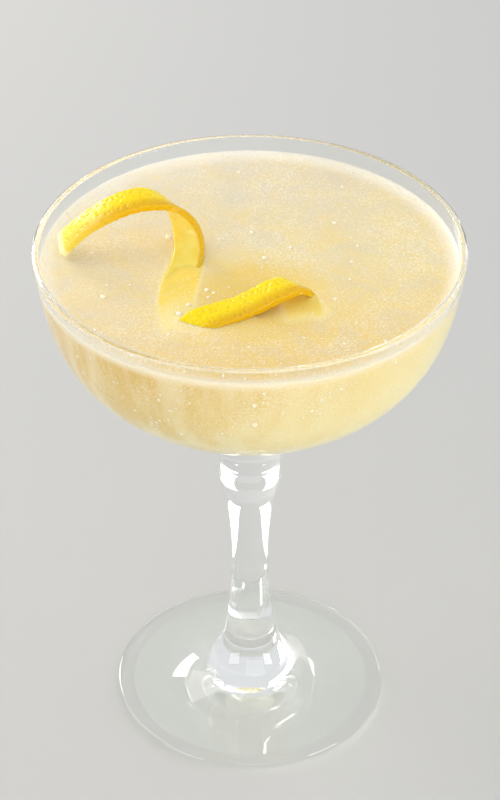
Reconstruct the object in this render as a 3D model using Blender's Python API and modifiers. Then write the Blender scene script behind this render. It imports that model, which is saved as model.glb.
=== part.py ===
"""French seventy-five: a coupe of cloudy sparkling drink with one long twist of lemon peel.

The glass is one turned piece: a wide bowl, a small knop under it, a slim stem and a round foot.
The drink fills the bowl to a few millimetres under the rim, and is cut round the peel.
The peel is one long strip, wound like a stretched coil: it arches out of the drink at the left,
curls down and runs under the surface, and comes up again at the front.
Metres, +Z up, origin at the middle of the foot's underside.
"""
import math

import bmesh
import bpy
from mathutils import Vector

MM = 0.001
COLLECTION_NAME = "french_seventy_five"

# The bowl, its depths measured down from the rim
GLASS_HEIGHT = 132 * MM
RIM_RADIUS = 50 * MM
RIM_WALL = 1.3 * MM
BOWL_DEPTH = 44.7 * MM
BOWL_FLOOR = 3.0 * MM
BOWL_TAPER = 0.119
BOWL_ROUNDNESS = 3.2
BOWL_END_DEPTH = 42 * MM

# The outside from under the bowl down to the foot, as (radius, depth) in millimetres
STEM_STATIONS = (
    (13.6, 44.6),
    (10.6, 49.0),
    (9.1, 54.0),
    (8.2, 58.3),
    (7.0, 61.6),
    (7.6, 65.4),
    (6.9, 68.5),
    (5.7, 73.5),
    (4.8, 82.0),
    (4.4, 91.0),
    (4.8, 101.0),
    (5.7, 110.0),
    (7.0, 116.5),
    (10.0, 122.0),
    (16.0, 126.4),
    (25.0, 128.9),
)
FOOT_RADIUS = 34 * MM
FOOT_EDGE = 2.0 * MM
FOOT_RING = 3.5 * MM
FOOT_HOLLOW = 1.5 * MM

# The drink
LEVEL_BELOW_RIM = 5 * MM
LEVEL = GLASS_HEIGHT - LEVEL_BELOW_RIM
GAP = 0.3 * MM

# The peel, from its cut end at the left to its sunk end. A smooth curve is drawn towards these
# stations: where the middle of the strip lies (x, y, height over the drink) in millimetres, and
# where its back edge points (compass angle from +X, angle over level) in degrees
PEEL_WIDTH = 7.0 * MM
PEEL_THICKNESS = 1.6 * MM
PEEL_CUPPING = 0.35 * MM
PEEL_STATIONS = (
    ((-43.5, 5.0, 1.8), (94, 19)),
    ((-38.6, 4.2, 7.7), (99, -1)),
    ((-32.0, 6.4, 11.0), (110, 8)),
    ((-23.6, 9.5, 12.7), (104, 13)),
    ((-16.4, 10.8, 8.1), (127, -17)),
    ((-12.8, 4.9, 0.2), (165, -4)),
    ((-16.5, -6.8, -0.5), (177, 12)),
    ((-17.2, -16.5, -3.0), (174, 8)),
    ((-15.2, -23.0, -5.6), (163, 22)),
    ((-12.4, -25.8, 0.4), (138, 30)),
    ((-8.2, -23.2, 0.9), (120, 12)),
    ((0.5, -19.0, 1.2), (115, 2)),
    ((10.6, -12.8, 5.1), (142, 8)),
    ((12.5, -11.6, -6.0), (175, -11)),
)

# How finely the round and the bent shapes are divided
TURN_STEPS = 56
BOWL_RINGS = 15
STEPS_PER_STEM_STATION = 2
EDGE_STEPS = 4
PEEL_STEPS_PER_STATION = 7
PEEL_STRANDS = 4
SEAM_DISTANCE = 0.01 * MM


def clear_scene():
    for item in list(bpy.data.objects):
        bpy.data.objects.remove(item, do_unlink=True)


def new_collection(name):
    collection = bpy.data.collections.new(name)
    bpy.context.scene.collection.children.link(collection)
    return collection


def make_material(name, colour, roughness, transmission=0.0, ior=1.45):
    material = bpy.data.materials.new(name)
    material.use_nodes = True
    shader = material.node_tree.nodes["Principled BSDF"]
    shader.inputs["Base Color"].default_value = (*colour, 1.0)
    shader.inputs["Roughness"].default_value = roughness
    shader.inputs["Metallic"].default_value = 0.0
    shader.inputs["Transmission Weight"].default_value = transmission
    shader.inputs["IOR"].default_value = ior
    return material


def with_ends(stations):
    """The stations as vectors, with one more past each end in line with the last two."""
    points = [Vector(station) for station in stations]
    return [2 * points[0] - points[1]] + points + [2 * points[-1] - points[-2]]


def curve_through(stations, steps):
    """A Catmull-Rom curve: it passes each station."""
    padded = with_ends(stations)
    curve = []
    for before, start, end, after in zip(padded, padded[1:], padded[2:], padded[3:]):
        for i in range(steps):
            t = i / steps
            straight = 2 * start + (end - before) * t
            bent = (2 * before - 5 * start + 4 * end - after) * t ** 2
            swung = (3 * start - before - 3 * end + after) * t ** 3
            curve.append((straight + bent + swung) / 2)
    curve.append(padded[-2])
    return curve


def curve_towards(stations, steps):
    """A cubic B-spline: from the first station to the last, rounding off those between."""
    padded = with_ends(stations)
    curve = []
    for before, start, end, after in zip(padded, padded[1:], padded[2:], padded[3:]):
        for i in range(steps):
            t = i / steps
            outer = before * (1 - t) ** 3 + after * t ** 3
            inner = start * (3 * t ** 3 - 6 * t ** 2 + 4) + end * (1 + 3 * t + 3 * t ** 2 - 3 * t ** 3)
            curve.append((outer + inner) / 6)
    curve.append(padded[-2])
    return curve


def bowl_radius(depth, rim_radius, floor_depth):
    """Radius of a bowl surface: nearly straight at the rim, then rounding in to its floor."""
    fullness = math.sqrt(max(0.0, 1.0 - (depth / floor_depth) ** BOWL_ROUNDNESS))
    return (rim_radius - BOWL_TAPER * depth) * fullness


def bowl_line(rim_radius, floor_depth, first_depth, last_depth):
    """Points (radius, depth) down a bowl surface, closer together where it rounds in."""
    start = math.asin(first_depth / floor_depth)
    end = math.asin(last_depth / floor_depth)
    line = []
    for i in range(BOWL_RINGS + 1):
        depth = floor_depth * math.sin(start + (end - start) * i / BOWL_RINGS)
        line.append((bowl_radius(depth, rim_radius, floor_depth), depth))
    return line


def inner_wall(first_depth):
    """The bowl's inside from a depth down to its lowest point on the axis."""
    floor_depth = BOWL_DEPTH - BOWL_FLOOR
    line = bowl_line(RIM_RADIUS - RIM_WALL, floor_depth, first_depth, floor_depth)
    line[-1] = (0.0, floor_depth)
    return line


def rounded_lip():
    """The rim's top, a half circle from the inner wall over to the outer one."""
    half = RIM_WALL / 2
    middle = RIM_RADIUS - half
    lip = []
    for i in range(1, EDGE_STEPS):
        angle = math.pi * (1 - i / EDGE_STEPS)
        lip.append((middle + half * math.cos(angle), half * (1 - math.sin(angle))))
    return lip


def foot_line():
    """The foot's round edge, the flat ring that it rests on and the hollow inside the ring."""
    half = FOOT_EDGE / 2
    line = []
    for i in range(EDGE_STEPS + 1):
        angle = math.pi * (0.5 - i / EDGE_STEPS)
        radius = FOOT_RADIUS - half + half * math.cos(angle)
        line.append((radius, GLASS_HEIGHT - half - half * math.sin(angle)))
    ring_inside = FOOT_RADIUS - half - FOOT_RING
    for i in range(EDGE_STEPS + 1):
        inward = i / EDGE_STEPS
        rise = FOOT_HOLLOW * math.sin(inward * math.pi / 2)
        line.append((ring_inside * (1 - inward), GLASS_HEIGHT - rise))
    return line


def glass_profile():
    """From the bowl's inner floor up to the rim, and down the outside to the foot's underside."""
    inside = inner_wall(RIM_WALL / 2)[::-1]
    outside = bowl_line(RIM_RADIUS, BOWL_DEPTH, RIM_WALL / 2, BOWL_END_DEPTH)
    foot = foot_line()
    stations = [outside[-1]] + [(radius * MM, depth * MM) for radius, depth in STEM_STATIONS] + [foot[0]]
    stem = curve_through(stations, STEPS_PER_STEM_STATION)
    return inside + rounded_lip() + outside + stem[1:-1] + foot


def drink_profile():
    """The level surface out to the wall, then down just inside the bowl to the axis."""
    wall = inner_wall(LEVEL_BELOW_RIM)
    line = [(0.0, LEVEL_BELOW_RIM), (wall[0][0] - GAP, LEVEL_BELOW_RIM)]
    for before, here, after in zip(wall, wall[1:], wall[2:]):
        along = (Vector(after) - Vector(before)).normalized()
        line.append((here[0] - along.y * GAP, here[1] + along.x * GAP))
    line.append((0.0, wall[-1][1] - GAP))
    return line


def turned(name, profile, collection, material):
    """A closed body of revolution from (radius, depth) points that end on the axis."""
    mesh = bpy.data.meshes.new(name)
    points = [(radius, 0.0, GLASS_HEIGHT - depth) for radius, depth in profile]
    mesh.from_pydata(points, [(i, i + 1) for i in range(len(points) - 1)], [])
    body = bpy.data.objects.new(name, mesh)
    collection.objects.link(body)
    body.data.materials.append(material)
    screw = body.modifiers.new("turn", "SCREW")
    screw.axis = "Z"
    screw.steps = TURN_STEPS
    screw.render_steps = TURN_STEPS
    screw.use_merge_vertices = True
    screw.merge_threshold = SEAM_DISTANCE
    screw.use_smooth_shade = True
    return body


def pointing(compass, tilt):
    """A unit vector from its compass angle and its angle over level, in degrees."""
    level = math.cos(math.radians(tilt))
    return Vector((
        level * math.cos(math.radians(compass)),
        level * math.sin(math.radians(compass)),
        math.sin(math.radians(tilt)),
    ))


def peel_frames():
    """Along the strip: its middle, the way it runs, its back edge's side and its outer side."""
    places = [Vector(place) * MM for place, _ in PEEL_STATIONS]
    sides = [pointing(*angles) for _, angles in PEEL_STATIONS]
    middles = curve_towards(places, PEEL_STEPS_PER_STATION)
    edges = curve_towards(sides, PEEL_STEPS_PER_STATION)
    last = len(middles) - 1
    frames = []
    for i, middle in enumerate(middles):
        along = (middles[min(i + 1, last)] - middles[max(i - 1, 0)]).normalized()
        edge = (edges[i] - along * edges[i].dot(along)).normalized()
        frames.append((middle + Vector((0.0, 0.0, LEVEL)), along, edge, along.cross(edge)))
    return frames


def peel_strip(name, collection, grow=0.0):
    """The strip: a flat ribbon bent along its frames, then given its thickness."""
    frames = peel_frames()
    last = len(frames) - 1
    flat = bmesh.new()
    bmesh.ops.create_grid(flat, x_segments=last, y_segments=PEEL_STRANDS, size=1.0)
    for vertex in flat.verts:
        step = round((vertex.co.x + 1) / 2 * last)
        across = vertex.co.y
        middle, along, edge, outward = frames[step]
        sideways = edge * across * (PEEL_WIDTH / 2 + grow)
        bulge = outward * PEEL_CUPPING * (1 - across ** 2)
        overrun = along * grow * ((step == last) - (step == 0))
        vertex.co = middle + sideways + bulge + overrun
    bmesh.ops.recalc_face_normals(flat, faces=flat.faces)
    mesh = bpy.data.meshes.new(name)
    flat.to_mesh(mesh)
    flat.free()
    mesh.shade_smooth()
    strip = bpy.data.objects.new(name, mesh)
    collection.objects.link(strip)
    thicken = strip.modifiers.new("thickness", "SOLIDIFY")
    thicken.thickness = PEEL_THICKNESS + 2 * grow
    thicken.offset = 0.0
    return strip


def build():
    clear_scene()
    pieces = new_collection(COLLECTION_NAME)
    cutters = new_collection(COLLECTION_NAME + "_cutters")

    clear_glass = make_material("clear_glass", (0.95, 0.96, 0.96), 0.02, transmission=1.0, ior=1.5)
    cloudy_drink = make_material("cloudy_drink", (0.80, 0.62, 0.27), 0.15)
    lemon_peel = make_material("lemon_peel", (0.90, 0.62, 0.02), 0.40)

    turned("coupe_glass", glass_profile(), pieces, clear_glass)

    drink = turned("drink", drink_profile(), pieces, cloudy_drink)
    slot = peel_strip("peel_slot", cutters, grow=GAP)
    slot.hide_render = True
    slot.display_type = "WIRE"
    cut = drink.modifiers.new("room_for_peel", "BOOLEAN")
    cut.operation = "DIFFERENCE"
    cut.object = slot

    peel = peel_strip("lemon_twist", pieces)
    peel.data.materials.append(lemon_peel)


build()
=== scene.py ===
# %% [markdown]
# # A french seventy-five in its coupe
#
# The drink is a cloudy, sparkling, pale one in a stemmed coupe, with a long twist of lemon peel.
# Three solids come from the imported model: the glass, the drink and the twist. Here each gets its
# looks. A look is shape and light as much as colour. So every piece is turned or wound again from
# the solid's own measures, finer than the solid, and is then given its material.

# %% Load the frame
import math

import bmesh
import bpy
import numpy as np
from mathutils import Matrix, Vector
from mathutils.kdtree import KDTree


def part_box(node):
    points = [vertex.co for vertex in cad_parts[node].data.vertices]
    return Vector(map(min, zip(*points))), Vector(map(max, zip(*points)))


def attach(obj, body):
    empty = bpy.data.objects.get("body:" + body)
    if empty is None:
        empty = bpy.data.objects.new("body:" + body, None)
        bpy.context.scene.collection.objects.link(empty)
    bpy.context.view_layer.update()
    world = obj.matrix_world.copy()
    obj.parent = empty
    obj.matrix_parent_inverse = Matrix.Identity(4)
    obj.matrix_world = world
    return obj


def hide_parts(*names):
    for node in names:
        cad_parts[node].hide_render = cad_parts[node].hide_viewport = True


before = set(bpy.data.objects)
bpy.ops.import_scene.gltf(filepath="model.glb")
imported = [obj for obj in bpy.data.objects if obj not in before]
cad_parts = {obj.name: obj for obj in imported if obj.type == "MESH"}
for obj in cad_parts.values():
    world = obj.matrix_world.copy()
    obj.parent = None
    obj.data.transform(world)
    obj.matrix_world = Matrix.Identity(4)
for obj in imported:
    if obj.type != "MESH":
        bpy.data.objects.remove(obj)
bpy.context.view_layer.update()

MM = 0.001
GLASS_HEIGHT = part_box("coupe_glass")[1][2]
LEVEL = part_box("drink")[1][2]
print("glass", round(GLASS_HEIGHT / MM, 1), "mm high, filled to", round(LEVEL / MM, 1), "mm")

# %% [markdown]
# ## Camera
#
# The rim is a circle, and a circle seen at a slant is an ellipse. Its two widths give the camera's
# slant, and the stem's place under it gives the distance. The camera stands 0.65 m from the rim
# and looks down at 36 degrees. The long lens keeps the bowl's sides from spreading.

# %% Set the camera
CAMERA_PLACE = (0.0, -0.5462, 0.4843)
CAMERA_SLANT = 54.05
CAMERA_LENS = 127.4

camera_data = bpy.data.cameras.new("camera")
camera_data.lens = CAMERA_LENS
camera_data.sensor_width = 36
camera_data.clip_start = 0.01
camera = bpy.data.objects.new("camera", camera_data)
camera.location = CAMERA_PLACE
camera.rotation_euler = (math.radians(CAMERA_SLANT), 0, 0)
bpy.context.scene.collection.objects.link(camera)
bpy.context.scene.camera = camera
print("camera looks down at", round(90 - CAMERA_SLANT, 1), "degrees")

# %% [markdown]
# ## Helpers for materials
#
# Colours are written as on the screen, in hex, and Blender counts in linear light, so one function
# turns the first into the second. A second function adds a node, sets it and links it in one call,
# which keeps each material short enough to read from top to bottom.

# %% Colour and node helpers
def linear(hex_colour):
    """An sRGB hex colour as linear RGBA."""
    parts = [int(hex_colour[i:i + 2], 16) / 255 for i in (1, 3, 5)]
    return tuple(p / 12.92 if p <= 0.04045 else ((p + 0.055) / 1.055) ** 2.4 for p in parts) + (1.0,)


def add(tree, kind, settings=None, links=None):
    """Adds a node, with its properties or socket values, and with sockets that feed its inputs."""
    node = tree.nodes.new(kind)
    for name, value in (settings or {}).items():
        if isinstance(name, int) or name in node.inputs:
            node.inputs[name].default_value = value
        else:
            setattr(node, name, value)
    for name, socket in (links or {}).items():
        tree.links.new(socket, node.inputs[name])
    return node


def blank_material(name):
    """A material with an empty node tree and an output."""
    material = bpy.data.materials.new(name)
    material.use_nodes = True
    material.node_tree.nodes.clear()
    output = add(material.node_tree, "ShaderNodeOutputMaterial")
    return material, material.node_tree, output


def ramp(tree, factor, stops):
    """A colour ramp through (position, hex colour) stops."""
    node = add(tree, "ShaderNodeValToRGB", links={0: factor})
    bands = node.color_ramp.elements
    while len(bands) < len(stops):
        bands.new(0.5)
    for band, (position, colour) in zip(bands, stops):
        band.position = position
        band.color = linear(colour)
    return node.outputs[0]


def mix(tree, factor, first, second, blend="MIX"):
    """Mixes two colours, each a socket or a hex colour, by a socket or a number."""
    node = add(tree, "ShaderNodeMix", {"data_type": "RGBA", "blend_type": blend})
    for slot, value in ((0, factor), (6, first), (7, second)):
        if isinstance(value, str):
            node.inputs[slot].default_value = linear(value)
        elif isinstance(value, (int, float)):
            node.inputs[slot].default_value = value
        else:
            tree.links.new(value, node.inputs[slot])
    return node.outputs[2]


# %% [markdown]
# ## Room and light
#
# Glass shows little of itself: what the eye sees is the room, bent and mirrored. A pale floor and
# a few large soft lamps give it clean shapes to mirror. The main lamp stands behind on the left,
# so it glitters on the peel and lights the cloudy drink from behind, as a window would.
#
# A clear stem on a pale floor all but vanishes. Its edges bend the line of sight down to the floor
# on either side of it, so two glowing cards lie there and fill those edges with white. They are
# hidden from mirrored rays, or the bowl would show them too. Light also turns about many times
# inside glass, and edges go black where too few turns are counted, so those limits are raised.

# %% Floor and lamps
BOWL_MIDDLE = (0.0, 0.0, 0.11)
WINDOW_WHITE = "#FFFBF3"
STUDIO_WHITE = "#FFFFFF"
LAMPS = (
    ("window_behind", (-0.50, 0.68, 0.42), (0.16, 0.44), 2.7, WINDOW_WHITE),
    ("window_left", (-0.62, 0.26, 0.70), (0.60, 0.50), 2.1, WINDOW_WHITE),
    ("low_right", (0.60, -0.40, 0.14), (0.30, 0.25), 1.3, STUDIO_WHITE),
    ("front_fill", (0.20, -0.75, 0.42), (0.80, 0.50), 1.5, STUDIO_WHITE),
    ("low_left", (-0.55, -0.45, 0.12), (0.40, 0.25), 1.0, STUDIO_WHITE),
)
CARD_BACK = 0.04
CARD_HEIGHT = 0.004
CARD_LENGTH = 0.16
CARDS = (("card_left", -0.071, 0.066, 0.038), ("card_right", 0.079, 0.082, 0.060))
ROOM_BRIGHTNESS = 0.84


def soft_lamp(name, place, size, power, aim, colour):
    """A rectangular lamp that looks at a point."""
    data = bpy.data.lights.new(name, "AREA")
    data.shape = "RECTANGLE"
    data.size, data.size_y = size
    data.energy = power
    data.color = linear(colour)[:3]
    lamp = bpy.data.objects.new(name, data)
    lamp.location = place
    lamp.rotation_euler = (Vector(aim) - Vector(place)).to_track_quat("-Z", "Y").to_euler()
    bpy.context.scene.collection.objects.link(lamp)
    return lamp


for name, place, size, power, colour in LAMPS:
    soft_lamp(name, place, size, power, BOWL_MIDDLE, colour)
for name, x, width, power in CARDS:
    overhead = (x, CARD_BACK, 1.0)
    card = soft_lamp(name, (x, CARD_BACK, CARD_HEIGHT), (width, CARD_LENGTH), power, overhead, STUDIO_WHITE)
    card.visible_glossy = False

world = bpy.data.worlds.new("room")
world.use_nodes = True
world.node_tree.nodes["Background"].inputs[0].default_value = linear("#F4F5F7")
world.node_tree.nodes["Background"].inputs[1].default_value = ROOM_BRIGHTNESS
bpy.context.scene.world = world
bpy.context.scene.view_settings.view_transform = "Standard"
bpy.context.scene.cycles.glossy_bounces = 12
bpy.context.scene.cycles.transmission_bounces = 16
bpy.context.scene.cycles.max_bounces = 20

FLOOR_SIZE = 4.0
floor_mesh = bpy.data.meshes.new("floor")
shape = bmesh.new()
bmesh.ops.create_grid(shape, x_segments=1, y_segments=1, size=FLOOR_SIZE / 2)
shape.to_mesh(floor_mesh)
shape.free()
floor = bpy.data.objects.new("floor", floor_mesh)
bpy.context.scene.collection.objects.link(floor)
# Matt paint scatters light evenly: the floor stays one plain tone and shows no mirror image.
floor_paint, tree, output = blank_material("matt_white_paint")
shader = add(tree, "ShaderNodeBsdfPrincipled", {"Base Color": linear("#C0C0BF"), "Roughness": 0.8})
tree.links.new(shader.outputs[0], output.inputs[0])
floor_mesh.materials.append(floor_paint)
print(len(LAMPS) + len(CARDS), "lamps and a floor of", FLOOR_SIZE, "m")

# %% [markdown]
# ## Reading the solid's outline
#
# The glass is turned, so all of its form is in one outline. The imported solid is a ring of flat
# facets made from that outline. Rather than repeat its numbers, this cell walks along the solid's
# own edges in the plane of +X, from the bowl's floor over the rim to the underside of the foot.

# %% Read the outline
SAME_POINT = 0.002 * MM
IN_PLANE = 0.003 * MM


def outline_of(node):
    """The turned solid's outline as (radius, height), from one end on the axis to the other."""
    copy = bmesh.new()
    copy.from_mesh(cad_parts[node].data)
    bmesh.ops.remove_doubles(copy, verts=copy.verts, dist=SAME_POINT)
    in_plane = {v for v in copy.verts if abs(v.co.y) < IN_PLANE and v.co.x > -IN_PLANE}
    neighbours = {
        v: [e.other_vert(v) for e in v.link_edges if e.other_vert(v) in in_plane] for v in in_plane
    }
    start = max((v for v in in_plane if v.co.x < IN_PLANE), key=lambda v: v.co.z)
    walk = [start]
    while True:
        onward = [v for v in neighbours[walk[-1]] if v not in walk]
        if not onward:
            break
        walk.append(onward[0])
    outline = [(max(0.0, v.co.x), v.co.z) for v in walk]
    copy.free()
    return outline


glass_outline = outline_of("coupe_glass")
print("outline of", len(glass_outline), "points, from", glass_outline[0], "to", glass_outline[-1])

# %% [markdown]
# ## Curves and turning
#
# A curve that passes every point of the outline makes the turned glass rounder than its solid,
# and keeps its size. Blender's Screw modifier could turn the curve. Here the faces are made ring by
# ring instead, because that closes both poles to a single point and leaves no seam.

# %% Helpers that smooth and turn an outline
def padded(points):
    """The points as vectors, with one more past each end in line with the last two."""
    points = [Vector(point) for point in points]
    return [2 * points[0] - points[1]] + points + [2 * points[-1] - points[-2]]


def curve_through(points, steps):
    """A Catmull-Rom curve, which passes each point."""
    row = padded(points)
    curve = []
    for before, start, end, after in zip(row, row[1:], row[2:], row[3:]):
        for i in range(steps):
            t = i / steps
            straight = 2 * start + (end - before) * t
            bent = (2 * before - 5 * start + 4 * end - after) * t ** 2
            swung = (3 * start - before - 3 * end + after) * t ** 3
            curve.append((straight + bent + swung) / 2)
    curve.append(row[-2])
    return curve


def turned(name, outline, segments, material):
    """A body of revolution from (radius, height) points whose ends lie on the axis."""
    rings = outline[1:-1]
    angles = np.linspace(0, 2 * math.pi, segments, endpoint=False)
    corners = [(0.0, 0.0, outline[0][1])]
    for radius, height in rings:
        corners += [(radius * math.cos(a), radius * math.sin(a), height) for a in angles]
    corners.append((0.0, 0.0, outline[-1][1]))
    last = len(corners) - 1
    faces = []
    for j in range(segments):
        k = (j + 1) % segments
        faces.append((0, 1 + k, 1 + j))
        for i in range(len(rings) - 1):
            near = 1 + i * segments
            far = near + segments
            faces.append((near + j, near + k, far + k, far + j))
        near = 1 + (len(rings) - 1) * segments
        faces.append((near + j, near + k, last))
    mesh = bpy.data.meshes.new(name)
    mesh.from_pydata(corners, [], faces)
    shape = bmesh.new()
    shape.from_mesh(mesh)
    bmesh.ops.recalc_face_normals(shape, faces=shape.faces)
    shape.to_mesh(mesh)
    shape.free()
    mesh.shade_smooth()
    mesh.materials.append(material)
    body = bpy.data.objects.new(name, mesh)
    bpy.context.scene.collection.objects.link(body)
    return body


# %% [markdown]
# ## Glass
#
# A coupe is blown or pressed from clear soda-lime glass and fire-polished, so its surface has no
# grain at all and mirrors sharply. Its refractive index is 1.52. A glass shader alone casts a dark
# shadow, because a lamp's rays don't find their way through two bent surfaces. The usual cure is
# to let shadow rays pass straight through, tinted by next to nothing.

# %% Glass material and the turned glass
GLASS_SEGMENTS = 160
GLASS_STEPS = 2

# Polished clear glass: every lamp is mirrored as a sharp shape, and the floor shows through, bent.
clear_glass, tree, output = blank_material("soda_lime_glass")
polished = add(tree, "ShaderNodeBsdfPrincipled", {
    "Base Color": linear("#FCFEFD"),
    "Roughness": 0.0,
    "IOR": 1.52,
    "Transmission Weight": 1.0,
})
let_through = add(tree, "ShaderNodeBsdfTransparent", {0: linear("#F7F9F8")})
ray = add(tree, "ShaderNodeLightPath")
either = add(tree, "ShaderNodeMixShader", links={
    0: ray.outputs["Is Shadow Ray"], 1: polished.outputs[0], 2: let_through.outputs[0],
})
tree.links.new(either.outputs[0], output.inputs[0])

glass = turned("coupe", curve_through(glass_outline, GLASS_STEPS), GLASS_SEGMENTS, clear_glass)
print("coupe of", len(glass.data.polygons), "faces")

# %% [markdown]
# ## The twist's path
#
# The twist is a strip cut round the lemon, so it winds like a stretched coil. Its path is the
# solid's: a smooth curve drawn towards fourteen stations. Each gives the middle of the strip, in
# millimetres from the drink's level, and the compass angle and tilt of the strip's back edge. The
# rind faces the third way, at right angles to both the path and that edge.

# %% Wind the strip
PEEL_WIDTH = 7.0 * MM
PEEL_THICKNESS = 1.6 * MM
PEEL_CUPPING = 0.35 * MM
PEEL_STATIONS = (
    ((-43.5, 5.0, 1.8), (94, 19)),
    ((-38.6, 4.2, 7.7), (99, -1)),
    ((-32.0, 6.4, 11.0), (110, 8)),
    ((-23.6, 9.5, 12.7), (104, 13)),
    ((-16.4, 10.8, 8.1), (127, -17)),
    ((-12.8, 4.9, 0.2), (165, -4)),
    ((-16.5, -6.8, -0.5), (177, 12)),
    ((-17.2, -16.5, -3.0), (174, 8)),
    ((-15.2, -23.0, -5.6), (163, 22)),
    ((-12.4, -25.8, 0.4), (138, 30)),
    ((-8.2, -23.2, 0.9), (120, 12)),
    ((0.5, -19.0, 1.2), (115, 2)),
    ((10.6, -12.8, 5.1), (142, 8)),
    ((12.5, -11.6, -6.0), (175, -11)),
)
STEPS_PER_STATION = 40


def curve_towards(stations, steps):
    """A cubic B-spline, which rounds off the stations between its ends."""
    row = padded(stations)
    curve = []
    for before, start, end, after in zip(row, row[1:], row[2:], row[3:]):
        for i in range(steps):
            t = i / steps
            outer = before * (1 - t) ** 3 + after * t ** 3
            inner = start * (3 * t ** 3 - 6 * t ** 2 + 4) + end * (1 + 3 * t + 3 * t ** 2 - 3 * t ** 3)
            curve.append((outer + inner) / 6)
    curve.append(row[-2])
    return curve


def unit(rows):
    """Each row of an array made one long."""
    return rows / np.linalg.norm(rows, axis=-1, keepdims=True)


def pointing(compass, tilt):
    """A direction from its compass angle and its angle over level, in degrees."""
    compass, tilt = math.radians(compass), math.radians(tilt)
    return (math.cos(tilt) * math.cos(compass), math.cos(tilt) * math.sin(compass), math.sin(tilt))


station_middles = [[c * MM for c in place] for place, _ in PEEL_STATIONS]
middles = np.array(curve_towards(station_middles, STEPS_PER_STATION))
middles[:, 2] += LEVEL
alongs = unit(np.gradient(middles, axis=0))
edges = np.array(curve_towards([pointing(*side) for _, side in PEEL_STATIONS], STEPS_PER_STATION))
edges = unit(edges - alongs * (edges * alongs).sum(axis=1, keepdims=True))
outwards = np.cross(alongs, edges)
travel = np.concatenate([[0], np.cumsum(np.linalg.norm(np.diff(middles, axis=0), axis=1))])
print("strip", round(travel[-1] / MM), "mm long,", len(middles), "steps")

# %% [markdown]
# ## The strip's body
#
# Peel has two layers: the rind outside, full of oil glands, and the white pith inside. The knife
# leaves square edges, softened a little as they dry. So the section is a rounded rectangle,
# swept along the path. Two attributes go along with every corner, for the material: how much of
# the rind's colour it shows, and where it lies on the strip in millimetres. The knife ran at a
# slant, so the front edge is rind right through, and the strip's first end is bare pith.

# %% Build the strip
RIND_SHARE = 0.45
CORNER = 0.32 * MM
RIND_COLUMNS = 40
PITH_COLUMNS = 20
EDGE_COLUMNS = 3
CORNER_STEPS = 4
RIND_BLEND = 0.18
SLANT_FROM_MM = 2.1
SLANT_BLEND_MM = 0.8
BARE_END_MM = 1.4
BARE_BLEND_MM = 0.9


def strip_section():
    """Once round the section: (across, out) in metres, from the front edge over the rind."""
    half_width, half_thick = PEEL_WIDTH / 2, PEEL_THICKNESS / 2
    section = []
    for side_x, side_y, start in ((-1, 1, 180), (1, 1, 90), (1, -1, 0), (-1, -1, -90)):
        for i in range(CORNER_STEPS + 1):
            angle = math.radians(start - 90 * i / CORNER_STEPS)
            x = side_x * (half_width - CORNER) + CORNER * math.cos(angle)
            y = side_y * (half_thick - CORNER) + CORNER * math.sin(angle)
            section.append((x, y))
        columns = {(-1, 1): RIND_COLUMNS, (1, -1): PITH_COLUMNS}.get((side_x, side_y), EDGE_COLUMNS)
        x, y = section[-1]
        end_x = -x if columns > EDGE_COLUMNS else x
        end_y = y if columns > EDGE_COLUMNS else -y
        for i in range(1, columns):
            section.append((x + (end_x - x) * i / columns, y + (end_y - y) * i / columns))
    return section


section = np.array(strip_section())
across, out = section[:, 0], section[:, 1]
bulge = PEEL_CUPPING * (1 - (across / (PEEL_WIDTH / 2)) ** 2)
body = (
    middles[:, None]
    + edges[:, None] * across[None, :, None]
    + outwards[:, None] * (out + bulge)[None, :, None]
)
steps, around = body.shape[:2]
corners = body.reshape(-1, 3)
quads = []
for i in range(steps - 1):
    for j in range(around):
        k = (j + 1) % around
        quads.append((i * around + j, i * around + k, (i + 1) * around + k, (i + 1) * around + j))
ends = [tuple(range(around)), tuple(range((steps - 1) * around, steps * around))]
strip_mesh = bpy.data.meshes.new("lemon_strip")
strip_mesh.from_pydata(corners.tolist(), [], quads + ends)
shape = bmesh.new()
shape.from_mesh(strip_mesh)
bmesh.ops.triangulate(shape, faces=[face for face in shape.faces if len(face.verts) > 4])
bmesh.ops.recalc_face_normals(shape, faces=shape.faces)
shape.to_mesh(strip_mesh)
shape.free()
strip_mesh.shade_smooth()

layer = 0.5 + out / PEEL_THICKNESS
rind_above = np.clip((layer - (1 - RIND_SHARE)) / RIND_BLEND, 0, 1)
slanted_cut = np.clip((-across / MM - SLANT_FROM_MM) / SLANT_BLEND_MM, 0, 1)
rind_around = np.maximum(rind_above, slanted_cut)
end_cut = np.clip((travel / MM - BARE_END_MM) / BARE_BLEND_MM, 0, 1)
rind = end_cut[:, None] * rind_around[None]
strip_mesh.attributes.new("rind", "FLOAT", "POINT").data.foreach_set("value", rind.ravel())
place_mm = np.zeros((steps, around, 3))
place_mm[..., 0] = travel[:, None] / MM
place_mm[..., 1] = across[None] / MM
place_mm[..., 2] = out[None] / MM
strip_mm = strip_mesh.attributes.new("strip_mm", "FLOAT_VECTOR", "POINT")
strip_mm.data.foreach_set("vector", place_mm.ravel())
print("strip of", len(strip_mesh.polygons), "faces, section of", around, "corners")
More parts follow.
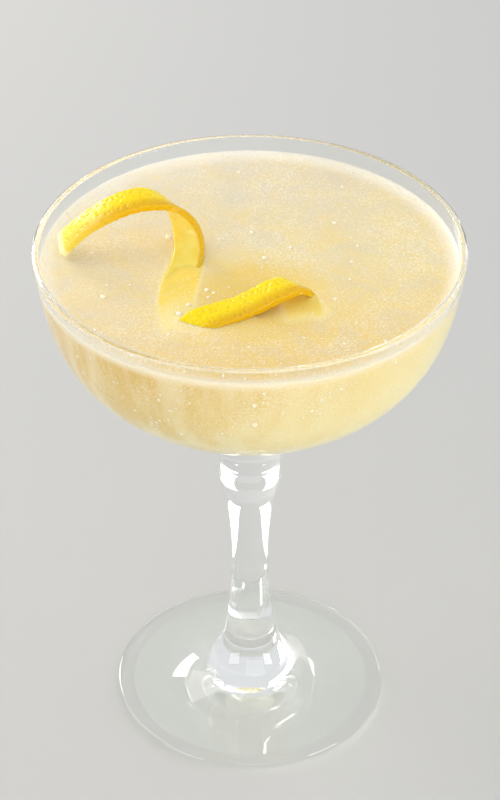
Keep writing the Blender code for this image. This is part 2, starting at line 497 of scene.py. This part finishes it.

# %% [markdown]
# ## Rind and pith
#
# Fresh lemon rind is waxy: light goes a millimetre or so into it and comes out yellow, and a thin
# coat on top glitters. The pith is duller and paler. Both are one piece here, so one material mixes
# them by the strip's "rind" attribute. Its patterns read the strip's own millimetres, so a scale
# of 1 is one cell for each millimetre. Along its front edge, which faces down, the rind is painted
# a deeper gold as shade. Towards its first end it is greenish pale.

# %% Rind and pith materials
zest, tree, output = blank_material("fresh_lemon_peel")
side = add(tree, "ShaderNodeAttribute", {"attribute_name": "rind"}).outputs["Fac"]
place = add(tree, "ShaderNodeAttribute", {"attribute_name": "strip_mm"}).outputs["Vector"]
glands = add(tree, "ShaderNodeTexVoronoi", {"Scale": 1.0, "Randomness": 0.9}, {"Vector": place})
blotches = add(tree, "ShaderNodeTexNoise", {"Scale": 0.22, "Detail": 2.0}, {"Vector": place})
gland_tone = ramp(tree, glands.outputs["Distance"], ((0.05, "#F0C400"), (0.45, "#F8DA00")))
rind_tone = mix(tree, blotches.outputs[0], gland_tone, "#FAE000")
strip_parts = add(tree, "ShaderNodeSeparateXYZ", links={0: place})
# Painted shade: the front edge faces down and away from the lamps, so it is mixed towards a deeper gold.
front_edge_shade = add(tree, "ShaderNodeMapRange", {
    "interpolation_type": "SMOOTHSTEP", "From Min": 0.2, "From Max": -2.8, "To Max": 0.9,
}, {"Value": strip_parts.outputs["Y"]})
rind_tone = mix(tree, front_edge_shade.outputs[0], rind_tone, "#DFAE00")
# Greenish pale towards the strip's first end.
paler_first_end = add(tree, "ShaderNodeMapRange", {
    "From Min": 16.0, "From Max": 1.0, "To Max": 0.6,
}, {"Value": strip_parts.outputs["X"]})
rind_tone = mix(tree, paler_first_end.outputs[0], rind_tone, "#F4EA70")
fibres = add(tree, "ShaderNodeTexNoise", {"Scale": 0.4, "Detail": 3.0}, {"Vector": place})
pith_tone = ramp(tree, fibres.outputs[0], ((0.3, "#F4D850"), (0.7, "#F8E474")))
at_cut = add(tree, "ShaderNodeMapRange", {
    "From Min": 2.6, "From Max": 1.2,
}, {"Value": strip_parts.outputs["X"]})
pith_tone = mix(tree, at_cut.outputs[0], pith_tone, "#F2ECB4")
tone = mix(tree, side, pith_tone, rind_tone)
grain = add(tree, "ShaderNodeTexNoise", {"Scale": 2.5, "Detail": 3.0}, {"Vector": place})
relief = add(tree, "ShaderNodeBump", {"Strength": 0.3, "Distance": 0.00015}, {"Height": grain.outputs[0]})
peel_shader = add(tree, "ShaderNodeBsdfPrincipled", {
    "Roughness": 0.26,
    "IOR": 1.47,
    "Subsurface Weight": 0.45,
    "Subsurface Radius": (1.0, 0.85, 0.15),
    "Subsurface Scale": 0.0014,
    "Specular IOR Level": 0.22,
    "Coat Weight": 0.28,
    "Coat Roughness": 0.1,
}, {"Base Color": tone, "Normal": relief.outputs[0]})
tree.links.new(peel_shader.outputs[0], output.inputs[0])
print("peel of", len(tree.nodes), "nodes")

# %% [markdown]
# ## Oil glands
#
# The rind's dimples are its oil glands, about a millimetre apart. They repeat over a surface, so
# Geometry Nodes make them. A Voronoi texture on the strip's own millimetres gives cells, and the
# distance to each cell's middle gives a dimple there. The tree moves the points, so the dimples
# are real ones and not only shading. Its last nodes turn any instances into mesh and set the
# material, because an export drops instances.

# %% A tree that dimples the rind
def new_tree(name, inputs):
    """A Geometry Nodes tree with a geometry in and out and named (name, type, value) inputs."""
    tree = bpy.data.node_groups.new(name, "GeometryNodeTree")
    tree.interface.new_socket("Geometry", in_out="INPUT", socket_type="NodeSocketGeometry")
    tree.interface.new_socket("Geometry", in_out="OUTPUT", socket_type="NodeSocketGeometry")
    for label, kind, value in inputs:
        socket = tree.interface.new_socket(label, in_out="INPUT", socket_type="NodeSocket" + kind)
        socket.default_value = value
    return tree, add(tree, "NodeGroupInput"), add(tree, "NodeGroupOutput")


def settle(tree, geometry, material, output):
    """Ends a tree: instances become mesh, and the mesh gets its material."""
    real = add(tree, "GeometryNodeRealizeInstances", links={0: geometry})
    painted = add(tree, "GeometryNodeSetMaterial", {"Material": material}, {"Geometry": real.outputs[0]})
    tree.links.new(painted.outputs[0], output.inputs[0])


def grown(name, mesh, tree, values):
    """Runs a tree on a mesh with values for its named inputs and returns the result as a piece."""
    carrier = bpy.data.objects.new(name, mesh)
    bpy.context.scene.collection.objects.link(carrier)
    modifier = carrier.modifiers.new("grow", "NODES")
    modifier.node_group = tree
    for item in tree.interface.items_tree:
        if item.in_out == "INPUT" and item.name in values:
            modifier[item.identifier] = values[item.name]
    view = carrier.evaluated_get(bpy.context.evaluated_depsgraph_get())
    result = bpy.data.meshes.new_from_object(view)
    carrier.modifiers.remove(modifier)
    carrier.data = result
    result.name = name
    return carrier


dimples, inside, outside = new_tree("oil_glands", (
    ("Spacing", "Float", 1.0), ("Depth", "Float", 0.1), ("Unevenness", "Float", 0.8),
))
where = add(dimples, "GeometryNodeInputNamedAttribute", {"data_type": "FLOAT_VECTOR", "Name": "strip_mm"})
mask = add(dimples, "GeometryNodeInputNamedAttribute", {"data_type": "FLOAT", "Name": "rind"})
density = add(dimples, "ShaderNodeMath", {"operation": "DIVIDE", 0: 1.0}, {1: inside.outputs["Spacing"]})
cells = add(dimples, "ShaderNodeTexVoronoi", {"feature": "SMOOTH_F1", "Smoothness": 0.25}, {
    "Vector": where.outputs[0], "Scale": density.outputs[0], "Randomness": inside.outputs["Unevenness"],
})
pit = add(dimples, "ShaderNodeMapRange", {
    "interpolation_type": "SMOOTHSTEP", "From Min": 0.1, "From Max": 0.5, "To Min": -1.0, "To Max": 0.35,
}, {"Value": cells.outputs["Distance"]})
masked = add(dimples, "ShaderNodeMath", {"operation": "MULTIPLY"}, {0: pit.outputs[0], 1: mask.outputs[0]})
deep = add(dimples, "ShaderNodeMath", {"operation": "MULTIPLY"}, {
    0: masked.outputs[0], 1: inside.outputs["Depth"],
})
metres = add(dimples, "ShaderNodeMath", {"operation": "MULTIPLY", 1: MM}, {0: deep.outputs[0]})
upright = add(dimples, "GeometryNodeInputNormal")
shift = add(dimples, "ShaderNodeVectorMath", {"operation": "SCALE"}, {
    0: upright.outputs[0], "Scale": metres.outputs[0],
})
moved = add(dimples, "GeometryNodeSetPosition", links={
    "Geometry": inside.outputs["Geometry"], "Offset": shift.outputs[0],
})
settle(dimples, moved.outputs[0], zest, outside)

twist = grown("lemon_peel_twist", strip_mesh, dimples, {"Spacing": 1.15, "Depth": 0.19, "Unevenness": 0.9})
print("twist of", len(twist.data.polygons), "faces")

# %% [markdown]
# ## The drink's surface
#
# Drink climbs a little where it wets glass or peel: that rounded edge, the meniscus, catches the
# lamps and draws the bright line round the bowl. The body below it is turned from the inside of
# the glass's outline and reaches 0.12 mm into the wall, so no film of air shows between them.
# Its top has closer rings towards the wall, where the meniscus bends it most.

# %% Turn the drink
INTO_WALL = 0.12 * MM
CLIMB = 1.3 * MM
CLIMB_REACH = 1.2 * MM
TOP_RINGS = 118
DRINK_SEGMENTS = 360
INNER_STEPS = 4
LEAST_STEP = 0.2 * MM

rim_index = max(range(len(glass_outline)), key=lambda i: glass_outline[i][1])
inner = curve_through(glass_outline[:rim_index], INNER_STEPS)
inner_heights = np.array([p[1] for p in inner])
inner_radii = np.array([p[0] for p in inner])
wall_top = LEVEL + CLIMB
heights = np.concatenate([[wall_top], inner_heights[inner_heights < wall_top - LEAST_STEP][::-1]])
radii = np.interp(heights, inner_heights, inner_radii) + INTO_WALL
side_line = [(r, h) for r, h in zip(radii[:-1], heights[:-1])] + [(0.0, heights[-1] - INTO_WALL)]
wall_radius = radii[0]

top_line = []
for i in range(TOP_RINGS):
    gap = wall_radius * (1 - math.sin(math.pi / 2 * i / TOP_RINGS))
    radius = wall_radius - gap
    top_line.append((radius, LEVEL + CLIMB * math.exp(-gap / CLIMB_REACH)))
print("drink's edge at radius", round(wall_radius / MM, 2), "mm, climbing", CLIMB / MM, "mm")

# %% [markdown]
# ## The drink's colour
#
# Lemon juice makes the drink cloudy: light goes a few millimetres in and is scattered back, so it
# looks soft and lit from within. A volume shader could do that, but it is slow and most exports
# drop it. So the material is a body colour with light scattered under the skin. The colour is
# grey-white at the back and golden at the front. Round the peel a painted glow stands for the
# yellow light the peel throws into the drink. The side is paler low in the bowl, where the drink is
# thin, and towards the right, and both are painted light. Fine specks of froth lie over it in
# drifts. The real ones are about 0.1 mm, and they are drawn near 0.5 mm, because finer ones
# wouldn't show.

# %% Tones from above
HALF_BOWL = 46 * MM
GLOW_MIDDLE = (1.5 * MM, -14.0 * MM, LEVEL)
FROTH_WHITE = "#FFFAE6"

cloudy, tree, output = blank_material("cloudy_lemon_drink")
here = add(tree, "ShaderNodeTexCoord").outputs["Object"]
parts = add(tree, "ShaderNodeSeparateXYZ", links={0: here})
depth = add(tree, "ShaderNodeMapRange", {
    "From Min": LEVEL - 1.5 * MM, "From Max": LEVEL - 0.1 * MM,
}, {"Value": parts.outputs["Z"]})
from_front = add(tree, "ShaderNodeMapRange", {
    "From Min": -HALF_BOWL, "From Max": HALF_BOWL,
}, {"Value": parts.outputs["Y"]})
from_left = add(tree, "ShaderNodeMapRange", {
    "From Min": -HALF_BOWL, "From Max": HALF_BOWL,
}, {"Value": parts.outputs["X"]})
top_tone = ramp(tree, from_front.outputs[0], ((0.0, "#E7B83E"), (0.5, "#E5D39E"), (1.0, "#D6CEC4")))
right_tint = add(tree, "ShaderNodeMath", {"operation": "MULTIPLY", 1: 0.5}, {0: from_left.outputs[0]})
top_tone = mix(tree, right_tint.outputs[0], top_tone, "#EFD896")
left_tint = add(tree, "ShaderNodeMapRange", {
    "From Min": -2 * MM, "From Max": -36 * MM, "To Max": 0.5,
}, {"Value": parts.outputs["X"]})
top_tone = mix(tree, left_tint.outputs[0], top_tone, "#E8DCC4")
drifts = add(tree, "ShaderNodeTexNoise", {"Scale": 110.0, "Detail": 5.0, "Distortion": 1.2}, {"Vector": here})
drift_tone = ramp(tree, drifts.outputs[0], ((0.36, "#DAD2BE"), (0.5, "#E7D6A6"), (0.64, "#EFD684")))
top_tone = mix(tree, 0.32, top_tone, drift_tone)
# Painted glow: golden round a point by the front curl, for the yellow light the peel throws into the drink.
off_peel = add(tree, "ShaderNodeVectorMath", {"operation": "DISTANCE", 1: GLOW_MIDDLE}, {0: here})
painted_curl_glow = add(tree, "ShaderNodeMapRange", {
    "interpolation_type": "SMOOTHSTEP", "From Min": 20 * MM, "From Max": 10 * MM, "To Max": 0.85,
}, {"Value": off_peel.outputs["Value"]})
top_tone = mix(tree, painted_curl_glow.outputs[0], top_tone, "#EBCB64")
# Painted light: a bright yellow tint where the strip meets the drink, for the peel's glow.
painted_peel_glow = add(tree, "ShaderNodeAttribute", {"attribute_name": "painted_peel_glow"}).outputs["Fac"]
top_tone = mix(tree, painted_peel_glow, top_tone, "#FCE08C")
sunk = add(tree, "ShaderNodeAttribute", {"attribute_name": "sunk_peel"}).outputs["Fac"]
sunk_tone = ramp(tree, sunk, ((0.15, "#FDE9A8"), (0.7, "#FFE998"), (1.0, "#FFDB60")))
top_tone = mix(tree, sunk, top_tone, sunk_tone)
print("top tones of", len(tree.nodes), "nodes")

# %% Froth flecks
patches = add(tree, "ShaderNodeTexNoise", {"Scale": 70.0, "Detail": 5.0, "Distortion": 0.6}, {"Vector": here})
flecks = add(tree, "ShaderNodeTexNoise", {
    "Scale": 1900.0, "Detail": 3.0, "Roughness": 0.75,
}, {"Vector": here})
fleck = ramp(tree, flecks.outputs[0], ((0.45, "#000000"), (0.66, "#DCDCDC")))
patch = ramp(tree, patches.outputs[0], ((0.32, "#4C4C4C"), (0.70, "#F0F0F0")))
haze = mix(tree, 1.0, fleck, patch, "MULTIPLY")
off_axis = add(tree, "ShaderNodeVectorMath", {"operation": "LENGTH"}, {
    0: add(tree, "ShaderNodeVectorMath", {"operation": "MULTIPLY", 1: (1, 1, 0)}, {0: here}).outputs[0],
})
# Paler near the wall: partly froth that gathers at the edge, partly a painted highlight of the meniscus.
edge_froth_and_highlight = add(tree, "ShaderNodeMapRange", {
    "interpolation_type": "SMOOTHSTEP", "From Min": 44.0 * MM, "From Max": 47.6 * MM, "To Max": 0.5,
}, {"Value": off_axis.outputs["Value"]})
top_tone = mix(tree, edge_froth_and_highlight.outputs[0], top_tone, "#FBF6EE")
calm = add(tree, "ShaderNodeMath", {"operation": "MAXIMUM"}, {0: sunk, 1: painted_curl_glow.outputs[0]})
clear_there = add(tree, "ShaderNodeMath", {
    "operation": "MULTIPLY_ADD", 1: -0.7, 2: 1.0,
}, {0: calm.outputs[0]})
haze_over_top = mix(tree, 1.0, haze, clear_there.outputs[0], "MULTIPLY")
top_tone = mix(tree, haze_over_top, top_tone, FROTH_WHITE)
print("with flecks", len(tree.nodes), "nodes")

# %% Tones from the side, and the shader
stretch = add(tree, "ShaderNodeMapping", {"Scale": (1.0, 1.0, 0.12)}, {"Vector": here})
streak = add(tree, "ShaderNodeTexNoise", {"Scale": 170.0, "Detail": 3.0}, {"Vector": stretch.outputs[0]})
side_height = add(tree, "ShaderNodeMapRange", {
    "From Min": LEVEL - 36 * MM, "From Max": LEVEL,
}, {"Value": parts.outputs["Z"]})
# Painted light: the side is paler low in the bowl, where the drink is thin and would let the floor's light
# through.
side_tone = ramp(tree, side_height.outputs[0], (
    (0.0, "#FFFFFA"), (0.16, "#FAF2D4"), (0.42, "#EED688"), (0.9, "#DEB854"),
))
# Painted light: the side is paler towards the right, where more light falls.
right_light = add(tree, "ShaderNodeMath", {"operation": "MULTIPLY", 1: 0.75}, {0: from_left.outputs[0]})
side_tone = mix(tree, right_light.outputs[0], side_tone, "#FEF6C6")
streak_tone = ramp(tree, streak.outputs[0], ((0.4, "#E6C87C"), (0.6, "#FAF3DA")))
streak_share = add(tree, "ShaderNodeMapRange", {
    "From Min": -30 * MM, "From Max": 26 * MM, "To Min": 0.5, "To Max": 0.08,
}, {"Value": parts.outputs["X"]})
side_tone = mix(tree, streak_share.outputs[0], side_tone, streak_tone)
side_tone = mix(tree, haze, side_tone, FROTH_WHITE)
drink_tone = mix(tree, depth.outputs[0], side_tone, top_tone)
grain = add(tree, "ShaderNodeTexNoise", {"Scale": 1400.0, "Detail": 2.0}, {"Vector": here})
surface = add(tree, "ShaderNodeBump", {"Strength": 0.2, "Distance": 0.0002}, {"Height": grain.outputs[0]})
liquid = add(tree, "ShaderNodeBsdfPrincipled", {
    "Roughness": 0.22,
    "IOR": 1.345,
    "Subsurface Weight": 0.5,
    "Subsurface Radius": (1.0, 0.94, 0.8),
    "Subsurface Scale": 0.0025,
}, {"Base Color": drink_tone, "Normal": surface.outputs[0]})
tree.links.new(liquid.outputs[0], output.inputs[0])

drink = turned("cloudy_drink", [(0.0, LEVEL)] + top_line[1:] + side_line, DRINK_SEGMENTS, cloudy)
print("drink of", len(drink.data.polygons), "faces")

# %% [markdown]
# ## Drink and peel
#
# Two things happen where the strip meets the drink. The drink climbs it by a fraction of a
# millimetre, and the stretches that run just under the surface show through as a pale band.
# Both depend on how far a point of the surface is from the strip. So a search tree of the strip's
# points answers for every corner of the surface, and the answers are kept as attributes.
#
# The body of the drink is opaque here, so the band is a tint. Each sunk point of the strip tints
# the surface where the line from it to the camera comes out, and the deeper it lies, the fainter
# and the softer it is. The stretch behind the front curl is too deep in cloudy drink to be seen,
# and is left out.

# %% Shape and tint the surface round the peel
PEEL_CLIMB = 0.5 * MM
PEEL_CLIMB_REACH = 0.8 * MM
PEEL_GLOW_SHARE = 0.5
PEEL_GLOW_REACH = 3.5 * MM
HIDDEN_TURN = (7.9, 11.4)
SIGHT_END = 6 * MM
LAST_SIGHT_END = 20 * MM
SIGHT_GAIN = 1.25
WET_ABOVE = 0.2 * MM
AT_WATERLINE = 0.5 * MM
SAME_SPOT = 0.5 * MM
STRIP_HALO = 0.35 * MM
EDGE_BLUR = 0.4 * MM
BLUR_BY_DEPTH = 0.45


def plan_tree(points):
    """A search tree of points seen from above."""
    tree = KDTree(len(points))
    for i, point in enumerate(points):
        tree.insert(Vector((point[0], point[1], 0)), i)
    tree.balance()
    return tree


stations = np.arange(0, steps, 2) / STEPS_PER_STATION
in_sight = (stations < HIDDEN_TURN[0]) | (stations > HIDDEN_TURN[1])
samples = body[::2, ::3]
seen_rows = samples[in_sight].reshape(-1, 3)
row_ends = np.where(stations[in_sight] > HIDDEN_TURN[1], LAST_SIGHT_END, SIGHT_END)
sight_ends = np.repeat(row_ends, samples.shape[1])
wet = seen_rows[:, 2] < LEVEL + WET_ABOVE
under, sight_ends = seen_rows[wet], sight_ends[wet]
eye = np.array(CAMERA_PLACE)
share = (eye[2] - LEVEL) / (eye[2] - under[:, 2])
under_tree = plan_tree(eye + (under - eye) * np.minimum(share, 1)[:, None])
flat_samples = samples.reshape(-1, 3)
waterline_tree = plan_tree(flat_samples[np.abs(flat_samples[:, 2] - LEVEL) < AT_WATERLINE])

sunk_values = np.zeros(len(drink.data.vertices))
peel_glow_values = np.zeros(len(drink.data.vertices))
for vertex in drink.data.vertices:
    if vertex.co.z < LEVEL - 0.01 * MM:
        continue
    flat = Vector((vertex.co.x, vertex.co.y, 0))
    off = waterline_tree.find(flat)[2]
    vertex.co.z += PEEL_CLIMB * math.exp(-off / PEEL_CLIMB_REACH)
    # Painted light: near the strip's waterline the surface is tinted bright yellow, for the yellow light the
    # peel throws on the drink, and this lifts the shade the strip casts there.
    peel_glow_values[vertex.index] = PEEL_GLOW_SHARE * math.exp(-off / PEEL_GLOW_REACH)
    _, index, off = under_tree.find(flat)
    found = [i for _, i, _ in under_tree.find_range(flat, SAME_SPOT)] or [index]
    index = max(found, key=lambda i: under[i][2])
    down = max(0.0, LEVEL - under[index][2])
    sight = min(1.0, SIGHT_GAIN * max(0.0, 1 - down / sight_ends[index]))
    outside_strip = max(0.0, off - STRIP_HALO)
    blur = EDGE_BLUR + BLUR_BY_DEPTH * down
    sunk_values[vertex.index] = sight * max(0.0, 1 - outside_strip / blur)
for name, values in (("sunk_peel", sunk_values), ("painted_peel_glow", peel_glow_values)):
    drink.data.attributes.new(name, "FLOAT", "POINT").data.foreach_set("value", values)
print("peel shows through at", int((sunk_values > 0.1).sum()), "corners of the surface")

# %% [markdown]
# ## Froth and bubbles
#
# A sparkling drink carries gas: a haze of specks at the surface, some larger bubbles on it and
# some that cling to the wall. They repeat by the thousand, so a tree scatters them: points on a
# surface, a small sphere on each, a random size. A seed fixes the scatter, so it is the same in
# every run.

# %% Bubble materials
# Froth this fine scatters all light, so a speck is a warm white grain with a soft shine.
speck_film, tree, output = blank_material("froth_speck")
shader = add(tree, "ShaderNodeBsdfPrincipled", {
    "Base Color": linear("#FFFBEA"),
    "Roughness": 0.2,
    "IOR": 1.33,
})
tree.links.new(shader.outputs[0], output.inputs[0])

# A single bubble is a thin wet film: pale, as it shows the froth behind it, with sharp glints.
bubble_film, tree, output = blank_material("soap_thin_bubble_film")
shader = add(tree, "ShaderNodeBsdfPrincipled", {
    "Base Color": linear("#FFF6DA"),
    "Roughness": 0.06,
    "IOR": 1.33,
    "Coat Weight": 1.0,
    "Coat Roughness": 0.02,
})
tree.links.new(shader.outputs[0], output.inputs[0])
print("bubbles use", speck_film.name, "and", bubble_film.name)

# %% [markdown]
# The tree draws points over a surface, then one random number for each. Raised to a power, it
# makes most bubbles small and a few large, as in a real froth. Each point goes down along the
# surface's normal by a share of its bubble's radius, so the bubbles sit in the drink, not on it.

# %% A tree that scatters bubbles
SMALL_SIZES_POWER = 2.5
scatter, inside, outside = new_tree("scattered_bubbles", (
    ("Count per square metre", "Float", 1000.0), ("Smallest", "Float", 0.1), ("Largest", "Float", 0.3),
    ("Smoothness", "Int", 1), ("Sink", "Float", 0.0), ("Seed", "Int", 1),
))
spots = add(scatter, "GeometryNodeDistributePointsOnFaces", links={
    "Mesh": inside.outputs["Geometry"], "Density": inside.outputs["Count per square metre"],
    "Seed": inside.outputs["Seed"],
})
ball = add(scatter, "GeometryNodeMeshIcoSphere", {"Radius": 0.5 * MM}, {
    "Subdivisions": inside.outputs["Smoothness"],
})
chance = add(scatter, "FunctionNodeRandomValue", {"data_type": "FLOAT"}, {"Seed": inside.outputs["Seed"]})
rare = add(scatter, "ShaderNodeMath", {"operation": "POWER", 1: SMALL_SIZES_POWER}, {0: chance.outputs[1]})
size = add(scatter, "ShaderNodeMapRange", links={
    "Value": rare.outputs[0], "To Min": inside.outputs["Smallest"], "To Max": inside.outputs["Largest"],
})
sunken = add(scatter, "ShaderNodeMath", {"operation": "MULTIPLY"}, {
    0: size.outputs[0], 1: inside.outputs["Sink"],
})
down = add(scatter, "ShaderNodeMath", {"operation": "MULTIPLY", 1: -0.5 * MM}, {0: sunken.outputs[0]})
offset = add(scatter, "ShaderNodeVectorMath", {"operation": "SCALE"}, {
    0: spots.outputs["Normal"], "Scale": down.outputs[0],
})
lowered = add(scatter, "GeometryNodeSetPosition", links={
    "Geometry": spots.outputs["Points"], "Offset": offset.outputs[0],
})
balls = add(scatter, "GeometryNodeInstanceOnPoints", links={
    "Points": lowered.outputs[0], "Instance": ball.outputs["Mesh"], "Scale": size.outputs[0],
})
rounded = add(scatter, "GeometryNodeRealizeInstances", links={0: balls.outputs[0]})
smooth = add(scatter, "GeometryNodeSetShadeSmooth", links={"Geometry": rounded.outputs[0]})


def scattered(name, mesh, material, values):
    """A copy of the scatter tree with its own material, run on a mesh."""
    tree = scatter.copy()
    ends = tree.nodes
    settle(tree, ends[smooth.name].outputs[0], material, ends[outside.name])
    return grown(name, mesh, tree, values)


# %% [markdown]
# Bubbles lie in three places: over the open surface, close along its edge, and on the wall. Each is
# a part of the drink's own mesh, cut out by the height and the radius of its faces.

# %% Parts of the drink's surface
TOP_MARGIN = 1.2 * MM
EDGE_BAND = (1.6 * MM, 0.4 * MM)
TOP_FROM = LEVEL - 0.05 * MM
WALL_UP_TO = LEVEL - 0.8 * MM
WALL_FROM_RADIUS = 12 * MM


def part_of(mesh, keep, name):
    """The faces of a mesh whose middle passes a test, as a new mesh."""
    shape = bmesh.new()
    shape.from_mesh(mesh)
    dropped = [face for face in shape.faces if not keep(face.calc_center_median())]
    bmesh.ops.delete(shape, geom=dropped, context="FACES")
    part = bpy.data.meshes.new(name)
    shape.to_mesh(part)
    shape.free()
    return part


def on_top(middle):
    """Whether a face is in the open surface."""
    return middle.z > TOP_FROM and middle.xy.length < wall_radius - TOP_MARGIN


def on_side(middle):
    """Whether a face is against the wall."""
    return middle.z < WALL_UP_TO and middle.xy.length > WALL_FROM_RADIUS


def at_edge(middle):
    """Whether a face is in the band just inside the wall."""
    inner_end, outer_end = (wall_radius - gap for gap in EDGE_BAND)
    return middle.z > TOP_FROM and inner_end < middle.xy.length < outer_end


top_skin = part_of(drink.data, on_top, "top_skin")
side_skin = part_of(drink.data, on_side, "side_skin")
edge_skin = part_of(drink.data, at_edge, "edge_skin")
print("open surface of", len(top_skin.polygons), "faces, wall of", len(side_skin.polygons))

# %% Scatter them
SCATTER_INPUTS = ("Count per square metre", "Smallest", "Largest", "Smoothness", "Sink", "Seed")
BUBBLES = (
    ("froth_specks", top_skin, speck_film, (1100000.0, 0.14, 0.66, 1, 0.7, 7)),
    ("surface_bubbles", top_skin, bubble_film, (15000.0, 0.35, 1.3, 2, 0.3, 21)),
    ("edge_bubbles", edge_skin, bubble_film, (250000.0, 0.25, 0.8, 2, 0.2, 4)),
    ("wall_bubbles", side_skin, bubble_film, (75000.0, 0.25, 1.3, 2, 0.5, 12)),
)
bubble_pieces = []
for name, skin, film, values in BUBBLES:
    piece = scattered(name, skin, film, dict(zip(SCATTER_INPUTS, values)))
    bubble_pieces.append(piece)
    print(name, len(piece.data.polygons), "faces")

# %% [markdown]
# The largest bubbles are too few for a scatter: the eye knows each of them. They are placed one
# by one, as points on the surface, and a second tree puts a ball of each point's own size there.
# Those on the drink are given by x, y and radius, and those on the wall by compass angle from the
# front, height and radius, in millimetres and degrees.

# %% Place the largest bubbles
SUNK_SHARE = 0.3
LARGEST = (
    (-33.3, -13.8, 0.75), (-19.1, 11.3, 0.85), (-15.9, -20.6, 0.80), (-9.8, -10.9, 0.60),
    (-8.2, -12.2, 0.50), (-2.3, -17.8, 0.50), (-0.9, -19.0, 0.55), (-1.4, -16.2, 0.40),
    (-34.5, -27.0, 0.45), (-27.3, -8.9, 0.40), (23.5, 0.7, 0.45), (30.5, -15.0, 0.40),
)
ON_WALL = (
    (1, 121.5, 0.60), (3.6, 125.0, 0.50), (1.2, 115.2, 0.80), (-8.0, 111.5, 0.45), (-25, 119.5, 0.45),
)

spots_mesh = bpy.data.meshes.new("spots")
places = [(x * MM, y * MM, LEVEL - SUNK_SHARE * r * MM) for x, y, r in LARGEST]
for compass, height, _ in ON_WALL:
    radius = float(np.interp(height * MM, inner_heights, inner_radii)) + INTO_WALL
    angle = math.radians(compass - 90)
    places.append((radius * math.cos(angle), radius * math.sin(angle), height * MM))
spots_mesh.from_pydata(places, [], [])
radii_mm = [entry[2] for entry in LARGEST + ON_WALL]
spots_mesh.attributes.new("radius_mm", "FLOAT", "POINT").data.foreach_set("value", radii_mm)

domes, inside, outside = new_tree("placed_bubbles", (("Smoothness", "Int", 3),))
points = add(domes, "GeometryNodeMeshToPoints", links={"Mesh": inside.outputs["Geometry"]})
ball = add(domes, "GeometryNodeMeshIcoSphere", {"Radius": MM}, {"Subdivisions": inside.outputs["Smoothness"]})
own_size = add(domes, "GeometryNodeInputNamedAttribute", {"data_type": "FLOAT", "Name": "radius_mm"})
balls = add(domes, "GeometryNodeInstanceOnPoints", links={
    "Points": points.outputs[0], "Instance": ball.outputs["Mesh"], "Scale": own_size.outputs[0],
})
solid_balls = add(domes, "GeometryNodeRealizeInstances", links={0: balls.outputs[0]})
smooth_balls = add(domes, "GeometryNodeSetShadeSmooth", links={"Geometry": solid_balls.outputs[0]})
settle(domes, smooth_balls.outputs[0], bubble_film, outside)
largest_bubbles = grown("largest_bubbles", spots_mesh, domes, {"Smoothness": 3})
bubble_pieces.append(largest_bubbles)
print(largest_bubbles.name, len(largest_bubbles.data.polygons), "faces")

# %% [markdown]
# ## Hand the pieces to the frame
#
# Nothing here moves by itself: the glass, the drink and the twist are one body. Each piece rides
# on it, and three take the place of a solid, which stays in the physics model. The bubbles have
# no solid of their own.

# %% Ride and replace
STANDS_FOR = {
    glass: ("coupe_glass", "glass"),
    drink: ("drink", "drink"),
    twist: ("lemon_twist", "lemon_peel"),
}
for piece, (node, slot) in STANDS_FOR.items():
    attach(piece, "root")
    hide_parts(node)
for piece in bubble_pieces:
    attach(piece, "root")
